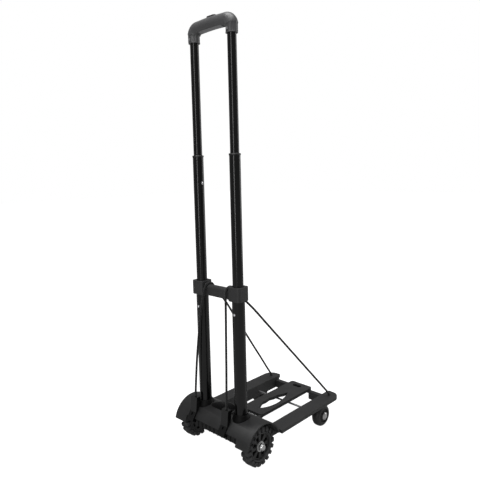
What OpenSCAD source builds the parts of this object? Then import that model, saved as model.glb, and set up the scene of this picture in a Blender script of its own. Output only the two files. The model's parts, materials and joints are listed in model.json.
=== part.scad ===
// Folding hand truck with a two-stage telescopic handle, a fold-up platform and two elastic cords.
// +Z is up, +Y points from the handle to the front of the platform, +X is the user's right.
// The origin is on the floor, in the middle of the whole cart's width and depth. Millimetres.
// The modules draw each piece with y = 0 in the plane of the handle tubes; placed() moves it at the end.

/* [Handle] */
// Distance between the centres of the two handle tubes
tube_spacing = 114; // [104:1:124]
// Height of the top of the lower tubes, at the crossbar
lower_top = 384; // [350:1:420]
// Length of middle tube that shows between crossbar and collar
middle_show = 278; // [266:1:310]
// Length of upper tube that shows between collar and grip
upper_show = 243; // [232:1:280]
// Outside diameter of the upper tubes
upper_d = 19; // [18:0.5:19.5]
// Outside diameter of the middle tubes
middle_d = 23.5; // [23:0.5:24]
// Outside diameter of the lower tubes
lower_d = 28; // [27.5:0.5:29]
// Wall of every tube
tube_wall = 1.2; // [1:0.1:1.4]
// Length of each tube that stays inside the next one when it is pulled out
tube_overlap = 72; // [68:1:80]
// Radial clearance of a sliding fit
slide_gap = 0.05; // [0.03:0.01:0.1]

/* [Grip] */
// Diameter of the grip bar
grip_d = 27; // [26:0.5:29]
// Height from the socket mouths to the centre of the grip bar
grip_rise = 31; // [30:0.5:34]
// Wall of the grip shells
grip_wall = 2.5; // [2:0.25:3]
// Radius inside the grip's elbows
elbow_inner = 1; // [0.5:0.5:4]
// Length of the release button
button_l = 26; // [22:1:30]
// Width of the release button
button_w = 12; // [10:0.5:13]

/* [Crossbar] */
// Height of the crossbar's blocks
block_h = 31; // [28:1:36]
// Wall of the blocks round the lower tubes
block_wall = 3; // [2.5:0.25:5]
// Height of the bar between the blocks
bar_h = 23; // [20:1:24]
// Depth of the bar between the blocks
bar_depth = 18; // [16:1:18]

/* [Rear housing] */
// Length of the fenders outside the rear tyres
fender_over = 5.5; // [2:0.5:14]
// Outside radius of the housing about the rear axle
housing_r = 54; // [52:0.5:56]
// Wall of the housing
housing_wall = 3; // [2.5:0.25:3.5]
// Angle of the rear edge above the axle
rear_edge = 30; // [26:1:34]
// Angle of the fenders' rear edge above the axle
fender_edge = 12; // [8:1:20]
// Angle of the front edge above the axle
front_edge = 16; // [14:1:20]
// Radius of the D-shaped opening
dee_r = 32; // [28:1:33]

/* [Rear wheels] */
// Diameter of the rear wheels
rear_d = 87; // [82:1:90]
// Width of the rear tyres
rear_w = 26; // [22:1:28]
// Distance of each rear wheel's centre outside the handle tube's
wheel_offset = 40.5; // [39.5:0.5:42]
// Distance of the rear axle in front of the tubes
axle_y = 7; // [5:0.5:9]
// Diameter of the rear axle
axle_d = 8; // [7:0.5:9]
// Number of lugs round a tyre
lugs = 18; // [14:1:22]

/* [Front wheels] */
// Diameter of the front wheels
front_d = 53; // [44:1:56]
// Width of the front wheels
front_w = 22; // [18:1:23]
// Distance of each front wheel's centre inside the platform's edge
wheel_inset = 16; // [14:0.5:17]
// Distance between the rear and the front axle
wheelbase = 229; // [205:1:245]
// Diameter of the front wheel bolts
bolt_d = 8; // [6:0.5:9]

/* [Platform] */
// Side clearance between the hinge lugs and the arms
arm_gap = 0.5; // [0.4:0.1:2]
// Width of one arm
arm_w = 38; // [36:1:40]
// Height of the arms' top above the floor
platform_top = 59.5; // [59:0.5:64]
// Front end of the arms, from the plane of the tubes
platform_front = 303; // [290:1:320]
// Rear end of the arms, from the plane of the tubes
platform_rear = 66; // [65:0.5:68]
// Wall of the arms and the board
shell_t = 3; // [2.5:0.25:3.5]
// Depth of the arms' inner wall
arm_wall_h = 29.5; // [26:0.5:31]
// Width of the centre board
board_w = 66; // [60:1:72]
// Height of the hinge pin above the floor
hinge_z = 46; // [45:0.5:48]
// Distance of the hinge pin in front of the tubes
hinge_y = 78; // [77:0.5:80]
// Diameter of the hinge pin
hinge_d = 6; // [5:0.5:7]

/* [Cords] */
// Diameter of the elastic cords
cord_d = 5; // [4:0.5:5.5]
// Width of the cord hooks
hook_w = 20; // [16:1:24]

/* [Hidden] */
$fn = 64;

tube_x = tube_spacing / 2;
press_gap = 0.05;
axle_z = rear_d / 2;

// Handle heights and bores
lower_bottom = 52;
middle_top = lower_top + middle_show;
middle_bottom = lower_top - tube_overlap;
socket_z = middle_top + upper_show;
upper_bottom = middle_top - tube_overlap;
upper_top = socket_z + 12;
lower_bore = lower_d - 2 * tube_wall;
middle_bore = middle_d - 2 * tube_wall;
upper_bore = upper_d - 2 * tube_wall;
lip_h = 2.4;
bush_h = 20;
collar_h = 4;
collar_d = middle_d + 1.6;
pin_drop = 57;
pin_d = 5;
pin_reach = 0.3;
pin_l = 7.5;
stud_d = 5.6;
stud_dome = 1.4;
plug_h = 28;
plug_foot = 4;
rod_d = 4;
button_travel = 4;

// Grip
grip_z = socket_z + grip_rise;
elbow_r = grip_d / 2 + elbow_inner;
elbow_x = tube_x - elbow_r;
elbow_z = grip_z - elbow_r;
cover_l = 2 * elbow_x - 10;
cover_top = grip_z - 6;
yoke_z = grip_z - 4;
rod_bottom = upper_bottom + plug_h + 0.5;
button_proud = 1.6;
button_top = grip_z + grip_d / 2 + button_proud;
button_bottom = yoke_z + 3;
screw_z = socket_z + 7;

// Crossbar
block_w = lower_d + 2 * block_wall;
bar_top = lower_top - 5;
bar_round = 7;

// Housing and rear wheels
housing_inner = housing_r - housing_wall;
rear_track = tube_spacing + 2 * wheel_offset;
housing_w = rear_track + rear_w + 2 * fender_over;
rear_x = rear_track / 2;
chassis_w = 2 * (rear_x - rear_w / 2) - 12;
end_plate_t = 7;
fender_x = chassis_w / 2 + 1.5;
rear_wall_y = axle_y - 38;
ridge_proud = 1.2;
sleeve_d = lower_d + 7;
boot_d = lower_d + 12;
boot_z = axle_z + housing_r - 12;
boot_h = 20;
dee_y = -7;
rim_t = 2.6;
rim_top = axle_z + housing_r + 3;
lug_depth = 5;
hub_d = 58;
hub_core_d = 26;
wheel_holes = 8;
hub_recess = 6.5;
nut_d = 18;
washer_d = 22;
washer_t = 1.6;
nut_h = 9;

// Platform and front wheels
platform_w = chassis_w + 2 * (arm_w + arm_gap);
platform_x = platform_w / 2;
arm_in = platform_x - arm_w;
lip_drop = 7.5;
front_y = axle_y + wheelbase;
front_z = front_d / 2;
front_x = platform_w / 2 - wheel_inset;
hub_gap = 0.4;
bracket_t = 4.5;
bracket_x = front_x - front_w / 2 - 1.2 - bracket_t;
bolt_head_d = 20;
bolt_head_h = 6;
head_recess = 3;
ring_d = bolt_head_d + 11;
bracket_skin = 1.5;
bar_y = platform_front - 23;
bar_t = 12;
front_bar_top = platform_top - 9.5;
front_bar_h = 20;
board_top = platform_top - 2.2;
board_drop = 7.3;
board_front = bar_y + bar_t + shell_t + 0.2;
board_rear = 93;
slot_x = 4;
slot_rear = 116;
slot_front = 228;
ear_t = 8;
ear_x = board_w / 2 - ear_t - 1;
lug_r = 6.5;
lug_t = 9;
cord_hole = cord_d + 3;
cord_hole_y = platform_front - 22;
cord_hole_x = platform_x - 21;
rod_y = front_y - 26;
rod_z = platform_top - 17.5;
steel_rod_d = 5;
knot_d = 11;
knot_z = platform_top - shell_t - knot_d / 2 - 0.3;
cord_start = platform_top - 9;

// Hooks
left_hook_x = -63;
right_hook_x = 38;
hook_t = 3.6;
hook_top = 117;
hook_gap = 0.3;
cord_foot_y = -26;
hook_turn = 8;

// The hooks' backs are the rearmost faces of the cart
rearmost = axle_y - (housing_r + hook_gap + hook_t) * cos(rear_edge - hook_turn);
depth_middle = (platform_front + rearmost) / 2;

// Routes of the cords: from the knot under the arm, up to the crossbar, over it and down to the hook
bend_r = 13;
bend_z = bar_top - 9.5;
right_route = [[cord_hole_x, cord_hole_y, cord_start], [cord_hole_x, cord_hole_y, platform_top - 1],
               [cord_hole_x - 1, cord_hole_y - 4, platform_top + 8], [90, 254, 95], [82, 222, 133],
               [74, 190, 171], [66, 158, 209], [58, 126, 247], [50, 94, 285], [42, 62, 323],
               [34, 30, 356], [31, 18, 367], [30, bend_r - 0.5, 375], [30.5, 8, bend_z + 10.6],
               [31, 0, bend_z + bend_r], [31.5, -8, bend_z + 10.6], [32, -bend_r + 0.5, 374],
               [32.5, -bend_r - 1, 364], [34, -16, 330], [35, -18, 290], [36, -20, 250], [37, -22, 205],
               [37.5, -24, 160], [38, -25.5, 130], [38, cord_foot_y, hook_top - 8]];
left_route = [[-cord_hole_x, cord_hole_y, cord_start], [-cord_hole_x, cord_hole_y, platform_top - 1],
              [-cord_hole_x + 1, cord_hole_y - 4, platform_top + 8], [-90, 254, 95], [-82, 222, 133],
              [-75, 190, 171], [-67, 158, 209], [-59, 126, 247], [-52, 94, 285], [-44, 62, 323],
              [-37, 30, 356], [-34, 18, 367], [-33, bend_r - 0.5, 375], [-33, 8, bend_z + 10.6],
              [-33, 0, bend_z + bend_r], [-33.5, -8, bend_z + 10.6], [-34, -bend_r + 0.5, 374],
              [-35, -bend_r - 1.5, 364], [-41, -18.5, 330], [-47, -20.5, 290], [-52, -22, 250],
              [-57, -23.5, 205], [-60.5, -25, 160], [-62.5, -25.8, 130], [-63, cord_foot_y, hook_top - 8]];

// ---------- Helpers ----------

// Points of an arc about a centre, from one angle to another
function arc(cx, cy, r, from, to, steps = 8) =
    [for (i = [0:steps]) [cx + r * cos(from + (to - from) * i / steps), cy + r * sin(from + (to - from) * i / steps)]];

// Outline of a rectangle with round corners, centred
function round_rect(w, h, r) =
    concat(arc(w / 2 - r, h / 2 - r, r, 0, 90), arc(-w / 2 + r, h / 2 - r, r, 90, 180),
           arc(-w / 2 + r, -h / 2 + r, r, 180, 270), arc(w / 2 - r, -h / 2 + r, r, 270, 360));

// Catmull-Rom point between b and c
function spline_point(a, b, c, d, t) =
    0.5 * (2 * b + (c - a) * t + (2 * a - 5 * b + 4 * c - d) * t * t + (3 * b - a - 3 * c + d) * t * t * t);

// A smooth line through a list of points
function smooth_line(p, cuts) =
    concat([for (i = [0:len(p) - 2], k = [0:cuts - 1])
        spline_point(p[max(i - 1, 0)], p[i], p[i + 1], p[min(i + 2, len(p) - 1)], k / cuts)], [p[len(p) - 1]]);

function unit(v) = v / norm(v);

// A round bar of radius r swept along a line of points; side is a direction that the line never takes
module swept_bar(p, r, sides, side) {
    n = len(p);
    dirs = [for (i = [0:n - 1]) unit(p[min(i + 1, n - 1)] - p[max(i - 1, 0)])];
    rings = [for (i = [0:n - 1])
        let (u = unit(cross(dirs[i], side)), w = cross(dirs[i], u))
        [for (k = [0:sides - 1]) p[i] + r * (cos(360 * k / sides) * u + sin(360 * k / sides) * w)]];
    points = [for (ring = rings, q = ring) q];
    // Two triangles for each patch, so that every face is flat
    walls = [for (i = [0:n - 2], k = [0:sides - 1], half = [0, 1])
        let (a = i * sides + k, b = i * sides + (k + 1) % sides)
        half == 0 ? [b, a, b + sides] : [b + sides, a, a + sides]];
    start = [for (k = [0:sides - 1]) k];
    finish = [for (k = [sides - 1:-1:0]) (n - 1) * sides + k];
    polyhedron(points, concat([start], walls, [finish]), convexity = 8);
}

// Coil spring along +Z
module coil(d, wire, length, turns) {
    steps = 12;
    pitch = (length - wire) / turns;
    line = [for (i = [0:turns * steps])
        [d / 2 * cos(360 * i / steps), d / 2 * sin(360 * i / steps), wire / 2 + pitch * i / steps]];
    swept_bar(line, wire / 2, 6, [0, 0, 1]);
}

// Plain tube standing on the xy plane
module tube(outer, inner, h) {
    difference() {
        cylinder(d = outer, h = h);
        translate([0, 0, -1]) cylinder(d = inner, h = h + 2);
    }
}

// Cylinder along +X from x0 to x1, at a height and a depth
module x_rod(d, x0, x1, y, z) {
    translate([x0, y, z]) rotate([0, 90, 0]) cylinder(d = d, h = x1 - x0);
}

// Block between two corners
module block(a, b) {
    translate(a) cube(b - a);
}

// Extrudes an outline in the yz plane along X, from x0 to x1
module side_extrude(x0, x1) {
    translate([x0, 0, 0]) rotate([90, 0, 90]) linear_extrude(x1 - x0) children();
}

// Copies for both sides of the cart
module both_sides() {
    children();
    mirror([1, 0, 0]) children();
}

// ---------- Rear housing and chassis ----------

// Band of the housing's half pipe between its rear and front edge
module housing_band(outer, inner, low_front, low_rear) {
    reach = 3 * housing_r;
    translate([axle_y, axle_z]) intersection() {
        difference() {
            circle(r = outer);
            circle(r = inner);
        }
        polygon([[0, 0], [reach * cos(low_front), reach * sin(low_front)], [reach, reach], [-reach, reach],
                 [-reach * cos(low_rear), reach * sin(low_rear)]]);
    }
}

module rear_housing() color([0.16, 0.16, 0.17]) difference() {
    union() {
        side_extrude(-housing_w / 2, housing_w / 2)
            housing_band(housing_r, housing_inner, front_edge, rear_edge);
        // Fenders, which reach lower behind the wheels
        both_sides() side_extrude(fender_x, housing_w / 2)
            housing_band(housing_r, housing_inner, front_edge, fender_edge);
        // Raised rim on the curved side of the D-shaped opening
        translate([0, dee_y, axle_z + housing_r - 14]) intersection() {
            tube(2 * (dee_r + rim_t), 2 * dee_r - 1, 14 + rim_top - axle_z - housing_r);
            block([-dee_r * 2, 2, 0], [dee_r * 2, dee_r * 2, 40]);
        }
    }
    // D-shaped opening
    translate([0, dee_y, axle_z]) intersection() {
        cylinder(r = dee_r, h = 2 * housing_r);
        block([-dee_r * 2, 0, 0], [dee_r * 2, dee_r * 2, 2 * housing_r]);
    }
    for (s = [-1, 1]) translate([s * tube_x, 0, axle_z + 20]) cylinder(d = boot_d + 2 * press_gap, h = housing_r);
}

// Ribbed inner frame: carries the axle, the lower tubes and the platform's hinge
module chassis() color([0.1, 0.1, 0.11]) {
    outer = housing_inner - 0.2;
    deck_z = axle_z + 8;
    half = chassis_w / 2;
    difference() {
        union() {
            // End plates with the axle's bosses
            for (s = [-1, 1]) translate([s * (half - end_plate_t / 2), 0, 0])
                side_extrude(-end_plate_t / 2, end_plate_t / 2) union() {
                    housing_band(outer, 1, 24, rear_edge + 7);
                    translate([axle_y, axle_z]) circle(r = 12);
                }
            // Deck under the housing and the walls along its front and rear
            block([-half, rear_wall_y, deck_z + 4], [half, axle_y + 42, deck_z + 8]);
            block([-half, rear_wall_y, deck_z - 1], [half, rear_wall_y + 3, deck_z + 17]);
            block([-half, axle_y + 39, deck_z - 8], [half, axle_y + 42, deck_z + 16]);
            // Upright ridges on the rear wall
            for (i = [-5:5]) translate([i * half / 6, 0, 0])
                block([-1.2, rear_wall_y - ridge_proud, deck_z - 1], [1.2, rear_wall_y + 1, deck_z + 13]);
            // Sockets for the lower tubes
            for (s = [-1, 1]) translate([s * tube_x, 0, lower_bottom - 3])
                cylinder(d = sleeve_d, h = boot_z - lower_bottom + 2.8);
            // Hinge lugs
            for (x = [-half + lug_t / 2, -12, 12, half - lug_t / 2]) side_extrude(x - lug_t / 2, x + lug_t / 2)
                union() {
                    translate([hinge_y, hinge_z]) circle(r = lug_r);
                    polygon([[axle_y + 40, hinge_z - lug_r], [hinge_y, hinge_z - lug_r],
                             [hinge_y, hinge_z + lug_r], [axle_y + 40, hinge_z + lug_r + 6]]);
                }
        }
        for (s = [-1, 1]) translate([s * tube_x, 0, lower_bottom])
            cylinder(d = lower_d + 2 * press_gap, h = 60);
        for (s = [-1, 1]) translate([s * tube_x, 0, boot_z - 0.2]) cylinder(d = boot_d + 0.6, h = housing_r);
        x_rod(axle_d + 2 * press_gap, -half - 1, half + 1, axle_y, axle_z);
        x_rod(hinge_d + 2 * press_gap, -half - 1, half + 1, hinge_y, hinge_z);
        // Window below the D-shaped opening
        block([-24, axle_y - 8, deck_z - 10], [24, axle_y + 22, deck_z + 20]);
    }
}

// Rubber boot that closes the gap round the foot of a tube
module tube_boot() color([0.05, 0.05, 0.05]) difference() {
    translate([0, 0, boot_z]) union() {
        cylinder(d = boot_d, h = 9);
        translate([0, 0, 9]) cylinder(d1 = boot_d, d2 = lower_d + 3, h = boot_h - 9);
    }
    translate([0, 0, boot_z - 1]) cylinder(d = lower_d + 2 * press_gap, h = boot_h + 2);
}

module left_tube_boot() translate([-tube_x, 0, 0]) tube_boot();
module right_tube_boot() translate([tube_x, 0, 0]) tube_boot();

// ---------- Handle: fixed stage ----------

module lower_tube() color([0.08, 0.08, 0.09]) difference() {
    translate([0, 0, lower_bottom]) tube(lower_d, lower_bore, lower_top - lower_bottom);
    translate([0, 0, lower_top - pin_drop]) rotate([90, 0, 0]) cylinder(d = stud_d + 2 * press_gap, h = lower_d);
}

module left_lower_tube() translate([-tube_x, 0, 0]) lower_tube();
module right_lower_tube() translate([tube_x, 0, 0]) lower_tube();

// Two blocks on the tubes' heads, joined by a bar that the cords run over
module crossbar() color([0.17, 0.17, 0.18]) difference() {
    base = lower_top - block_h + lip_h;
    union() {
        for (s = [-1, 1]) translate([s * tube_x, 0, base])
            linear_extrude(block_h) polygon(round_rect(block_w, block_w, 7));
        side_extrude(-tube_x + 4, tube_x - 4) translate([0, bar_top - bar_h / 2])
            polygon(concat(arc(bar_depth / 2 - bar_round, bar_h / 2 - bar_round, bar_round, 0, 90),
                           arc(-bar_depth / 2 + bar_round, bar_h / 2 - bar_round, bar_round, 90, 180),
                           [[-bar_depth / 2, -bar_h / 2], [bar_depth / 2, -bar_h / 2]]));
    }
    for (s = [-1, 1]) translate([s * tube_x, 0, 0]) {
        translate([0, 0, base - 1]) cylinder(d = lower_d + 2 * press_gap, h = block_h - lip_h + 1);
        translate([0, 0, base]) cylinder(d = middle_d + 0.8, h = block_h + 2);
        translate([0, lower_d / 2 - 0.5, lower_top - 14]) rotate([-90, 0, 0]) cylinder(d = 3.2, h = 10);
    }
}

// Screws that hold the crossbar on the tubes, from the front
module crossbar_screws() color([0.5, 0.5, 0.52]) for (s = [-1, 1])
    translate([s * tube_x, lower_d / 2 + 0.2, lower_top - 14]) rotate([-90, 0, 0]) {
        cylinder(d = 3, h = block_w / 2 - lower_d / 2);
        translate([0, 0, block_w / 2 - lower_d / 2 - 0.1]) cylinder(d = 6, h = 1.6);
    }

// Guide bush in the mouth of a lower tube
module lower_bush() color([0.3, 0.3, 0.31]) translate([0, 0, lower_top - bush_h])
    tube(lower_bore - 2 * press_gap, middle_d + 2 * slide_gap, bush_h);

module left_lower_bush() translate([-tube_x, 0, 0]) lower_bush();
module right_lower_bush() translate([tube_x, 0, 0]) lower_bush();

// Stud that lines a lock hole in a tube, with a domed face outside; it points along +X
module lock_stud(outer) {
    translate([outer / 2 - tube_wall + 0.1, 0, 0]) rotate([0, 90, 0]) {
        cylinder(d = stud_d, h = tube_wall + 0.4);
        translate([0, 0, tube_wall + 0.3]) cylinder(d1 = stud_d + 1, d2 = stud_d - 2, h = stud_dome);
    }
}

module lower_lock_studs() color([0.8, 0.8, 0.82]) for (s = [-1, 1])
    translate([s * tube_x, 0, lower_top - pin_drop]) rotate([0, 0, -90]) lock_stud(lower_d);

// ---------- Handle: middle stage ----------

module middle_tube() color([0.08, 0.08, 0.09]) difference() {
    translate([0, 0, middle_bottom]) tube(middle_d, middle_bore, middle_top - middle_bottom);
    // Lock hole for the upper stage, on the inner side
    translate([0, 0, middle_top - pin_drop]) rotate([0, 90, 0]) cylinder(d = stud_d + 2 * press_gap, h = middle_d);
    // Hole for this stage's own pin, at the rear
    translate([0, 0, lower_top - pin_drop]) rotate([90, 0, 0]) cylinder(d = pin_d + 0.6, h = middle_d);
}

module left_middle_tube() translate([-tube_x, 0, 0]) middle_tube();
module right_middle_tube() mirror([1, 0, 0]) left_middle_tube();

// Collar in the mouth of a middle tube, with a flange that the grip's socket meets
module collar() color([0.14, 0.14, 0.15]) difference() {
    translate([0, 0, middle_top - bush_h]) union() {
        cylinder(d = middle_bore - 2 * press_gap, h = bush_h + 0.5);
        translate([0, 0, bush_h]) cylinder(d = collar_d, h = collar_h - 1);
        translate([0, 0, bush_h + collar_h - 1]) cylinder(d1 = collar_d, d2 = collar_d - 1.6, h = 1);
    }
    translate([0, 0, middle_top - bush_h - 1]) cylinder(d = upper_d + 2 * slide_gap, h = bush_h + collar_h + 2);
}

module left_collar() translate([-tube_x, 0, 0]) collar();
module right_collar() translate([tube_x, 0, 0]) collar();

module upper_lock_studs() color([0.8, 0.8, 0.82]) both_sides()
    translate([-tube_x, 0, middle_top - pin_drop]) lock_stud(middle_d);

// Plug in a tube's foot. It guides the tube and holds the lock pin, which points along +X
module foot_plug(tube_bore, outer_bore, foot_z, pin_z) {
    difference() {
        union() {
            translate([0, 0, foot_z - plug_foot]) cylinder(d = outer_bore - 2 * slide_gap, h = plug_foot);
            translate([0, 0, foot_z - 1]) cylinder(d = tube_bore - 2 * press_gap, h = plug_h + 1);
        }
        translate([0, 0, foot_z - plug_foot - 1]) cylinder(d = rod_d + 0.8, h = plug_foot + 6);
        translate([0, 0, foot_z + plug_h - 9]) cylinder(d = rod_d + 0.8, h = 10);
        translate([-tube_bore / 2 + 3, 0, pin_z]) rotate([0, 90, 0]) cylinder(d = pin_d + 0.2, h = tube_bore);
    }
}

// Lock pin that points along +X, with its nose just inside the outer tube's bore
module lock_pin(outer_bore) {
    nose = outer_bore / 2 - pin_reach;
    translate([nose - pin_l, 0, 0]) rotate([0, 90, 0]) {
        cylinder(d = pin_d, h = pin_l - 1);
        translate([0, 0, pin_l - 1.02]) cylinder(d1 = pin_d, d2 = pin_d - 1.6, h = 1.02);
    }
}

// Spring behind a lock pin, along X
module pin_spring(tube_bore, outer_bore) {
    back = -tube_bore / 2 + 3.1;
    front = outer_bore / 2 - pin_reach - pin_l - 0.1;
    translate([back, 0, 0]) rotate([0, 90, 0]) coil(3.4, 0.6, front - back, 4);
}

module middle_plug() color([0.22, 0.22, 0.23]) rotate([0, 0, -90])
    foot_plug(middle_bore, lower_bore, middle_bottom, lower_top - pin_drop);

module left_middle_plug() translate([-tube_x, 0, 0]) middle_plug();
module right_middle_plug() translate([tube_x, 0, 0]) middle_plug();

module middle_lock_pins() color([0.75, 0.75, 0.77]) for (s = [-1, 1])
    translate([s * tube_x, 0, lower_top - pin_drop]) rotate([0, 0, -90]) lock_pin(lower_bore);

module middle_pin_springs() color([0.6, 0.6, 0.62]) for (s = [-1, 1])
    translate([s * tube_x, 0, lower_top - pin_drop]) rotate([0, 0, -90]) pin_spring(middle_bore, lower_bore);

// ---------- Handle: upper stage ----------

module upper_tube() color([0.08, 0.08, 0.09]) difference() {
    translate([0, 0, upper_bottom]) tube(upper_d, upper_bore, upper_top - upper_bottom);
    translate([0, 0, middle_top - pin_drop]) rotate([0, 90, 0]) cylinder(d = pin_d + 0.6, h = upper_d);
    translate([0, -upper_d / 2 - 1, screw_z]) rotate([-90, 0, 0]) cylinder(d = 3.2, h = 4);
}

module left_upper_tube() translate([-tube_x, 0, 0]) upper_tube();
module right_upper_tube() mirror([1, 0, 0]) left_upper_tube();

module upper_plug() color([0.22, 0.22, 0.23])
    foot_plug(upper_bore, middle_bore, upper_bottom, middle_top - pin_drop);

module left_upper_plug() translate([-tube_x, 0, 0]) upper_plug();
module right_upper_plug() mirror([1, 0, 0]) left_upper_plug();

module left_lock_pin() color([0.75, 0.75, 0.77])
    translate([-tube_x, 0, middle_top - pin_drop]) lock_pin(middle_bore);
module right_lock_pin() mirror([1, 0, 0]) left_lock_pin();

module left_pin_spring() color([0.6, 0.6, 0.62])
    translate([-tube_x, 0, middle_top - pin_drop]) pin_spring(upper_bore, middle_bore);
module right_pin_spring() mirror([1, 0, 0]) left_pin_spring();

// Quarter bend at the grip's right end, hollow
module grip_elbow() {
    translate([elbow_x, 0, elbow_z]) rotate([90, 0, 0]) rotate_extrude(angle = 90)
        translate([elbow_r, 0]) difference() {
            circle(d = grip_d);
            circle(d = grip_d - 2 * grip_wall);
        }
}

// Bar, elbows and the two sockets that take the upper tubes, in one moulding
module grip_shell() color([0.3, 0.3, 0.31]) difference() {
    union() {
        translate([-elbow_x, 0, grip_z]) rotate([0, 90, 0]) tube(grip_d, grip_d - 2 * grip_wall, 2 * elbow_x);
        both_sides() {
            grip_elbow();
            translate([tube_x, 0, socket_z]) tube(grip_d, upper_d + 2 * press_gap, elbow_z - socket_z);
        }
    }
    // Seat of the lower cover
    block([-cover_l / 2, -grip_d, grip_z - grip_d], [cover_l / 2, grip_d, cover_top]);
    // Well of the release button
    translate([0, 0, grip_z]) linear_extrude(grip_d)
        polygon(round_rect(button_l + 1, button_w + 1, button_w / 2));
    for (s = [-1, 1]) translate([s * tube_x, -grip_d / 2 - 1, screw_z]) rotate([-90, 0, 0])
        cylinder(d = 3.2, h = 6);
}

// Cover along the underside of the grip
module grip_cover() color([0.45, 0.45, 0.46]) difference() {
    rotate([0, 90, 0]) translate([-grip_z, 0, -cover_l / 2 + 0.2]) cylinder(d = grip_d, h = cover_l - 0.4);
    rotate([0, 90, 0]) translate([-grip_z, 0, -cover_l / 2 + 2.2])
        cylinder(d = grip_d - 2 * grip_wall, h = cover_l - 4.4);
    block([-cover_l, -grip_d, cover_top - 0.2], [cover_l, grip_d, grip_z + grip_d]);
    block([-cover_l, -rod_d, yoke_z - 2 - button_travel - 1], [cover_l, rod_d, grip_z]);
}

module grip_screws() color([0.5, 0.5, 0.52]) for (s = [-1, 1])
    translate([s * tube_x, -grip_d / 2 - 1.05, screw_z]) rotate([-90, 0, 0]) {
        cylinder(d = 6, h = 1);
        cylinder(d = 3, h = 6.5);
    }

module release_button() color([0.06, 0.06, 0.06]) translate([0, 0, button_bottom]) {
    linear_extrude(button_top - button_bottom - 0.8) polygon(round_rect(button_l, button_w, button_w / 2 - 0.5));
    translate([0, 0, button_top - button_bottom - 0.8]) linear_extrude(0.8)
        polygon(round_rect(button_l - 2, button_w - 2, button_w / 2 - 1.5));
}

// Bar that joins the button to the two push rods
module release_yoke() color([0.2, 0.2, 0.21]) difference() {
    union() {
        block([-tube_x - 3.5, -3, yoke_z - 2], [tube_x + 3.5, 3, yoke_z + 2]);
        block([-8, -3.5, yoke_z - 2], [8, 3.5, button_bottom]);
    }
    for (s = [-1, 1]) translate([s * tube_x, 0, yoke_z - 3]) cylinder(d = rod_d + 2 * press_gap, h = 6);
}

// Rods inside the upper tubes that carry the button's travel down to the lock pins
module push_rods() color([0.6, 0.6, 0.62]) for (s = [-1, 1]) translate([s * tube_x, 0, rod_bottom])
    cylinder(d = rod_d, h = yoke_z + 2 - rod_bottom);

module button_spring() color([0.6, 0.6, 0.62])
    translate([0, 0, grip_z - grip_d / 2 + grip_wall + 0.3])
        coil(4.4, 0.8, yoke_z - 2.4 - grip_z + grip_d / 2 - grip_wall, 3);

// ---------- Rear wheels ----------

module rear_axle() color([0.7, 0.7, 0.72])
    x_rod(axle_d, -rear_x - rear_w / 2, rear_x + rear_w / 2, axle_y, axle_z);

// Sleeves between the chassis and the wheels
module axle_spacers() color([0.12, 0.12, 0.12]) both_sides() difference() {
    x_rod(axle_d + 8, chassis_w / 2 + 0.1, rear_x - rear_w / 2 - 0.3, axle_y, axle_z);
    x_rod(axle_d + 0.2, chassis_w / 2 - 1, rear_x, axle_y, axle_z);
}

module axle_washers() color([0.75, 0.75, 0.76]) both_sides() difference() {
    face = rear_x + rear_w / 2 - hub_recess + 0.3;
    x_rod(washer_d, face, face + washer_t, axle_y, axle_z);
    x_rod(axle_d + 0.3, face - 1, face + washer_t + 1, axle_y, axle_z);
}

// Hexagon nuts with a domed cap
module cap_nuts() color([0.85, 0.85, 0.87]) both_sides() {
    face = rear_x + rear_w / 2 - hub_recess + washer_t + 0.4;
    difference() {
        translate([face, axle_y, axle_z]) rotate([0, 90, 0]) union() {
            cylinder(d = nut_d, h = 4.5, $fn = 6);
            translate([0, 0, 4.4]) cylinder(d1 = nut_d - 3, d2 = nut_d - 8, h = nut_h - 4.4);
        }
        x_rod(axle_d + 0.1, face - 1, rear_x + rear_w / 2 + 0.1, axle_y, axle_z);
    }
}

// Wheel centre with eight openings between its spokes, on the origin, axis along X
module rear_hub() color([0.2, 0.2, 0.21]) {
    half = rear_w / 2;
    difference() {
        rotate([0, 90, 0]) translate([0, 0, -half + 1]) cylinder(d = hub_d, h = rear_w - 1 - hub_recess);
        rotate([0, 90, 0]) translate([0, 0, -half]) cylinder(d = axle_d + 2 * slide_gap, h = rear_w);
        for (i = [0:wheel_holes - 1]) rotate([i * 360 / wheel_holes + 22.5, 0, 0])
            side_extrude(-half, half) polygon([[hub_core_d / 2, -2.5], [hub_d / 2 - 4, -5.2],
                                               [hub_d / 2 - 4, 5.2], [hub_core_d / 2, 2.5]]);
    }
}

// Tyre with lugs that run over its shoulders, on the origin, axis along X
module rear_tyre() color([0.07, 0.07, 0.07]) difference() {
    half = rear_w / 2;
    top = rear_d / 2;
    rotate([0, 90, 0]) rotate_extrude()
        polygon([[hub_d / 2 + press_gap, -half + 1], [hub_d / 2 + 2, -half], [top - 6, -half], [top, -half + 5],
                 [top, half - 5], [top - 6, half], [hub_d / 2 + 2, half], [hub_d / 2 + press_gap, half - 1]]);
    for (i = [0:lugs - 1]) rotate([i * 360 / lugs, 0, 0]) {
        block([-half - 1, -2, top - lug_depth], [-3, 2, top + 1]);
        rotate([180 / lugs, 0, 0]) block([3, -2, top - lug_depth], [half + 1, 2, top + 1]);
    }
}

module left_rear_hub() mirror([1, 0, 0]) right_rear_hub();
module right_rear_hub() translate([rear_x, axle_y, axle_z]) rear_hub();
module left_rear_tyre() mirror([1, 0, 0]) right_rear_tyre();
module right_rear_tyre() translate([rear_x, axle_y, axle_z]) rear_tyre();

// ---------- Platform ----------

module hinge_pin() color([0.7, 0.7, 0.72]) x_rod(hinge_d, -arm_in - shell_t, arm_in + shell_t, hinge_y, hinge_z);

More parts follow.
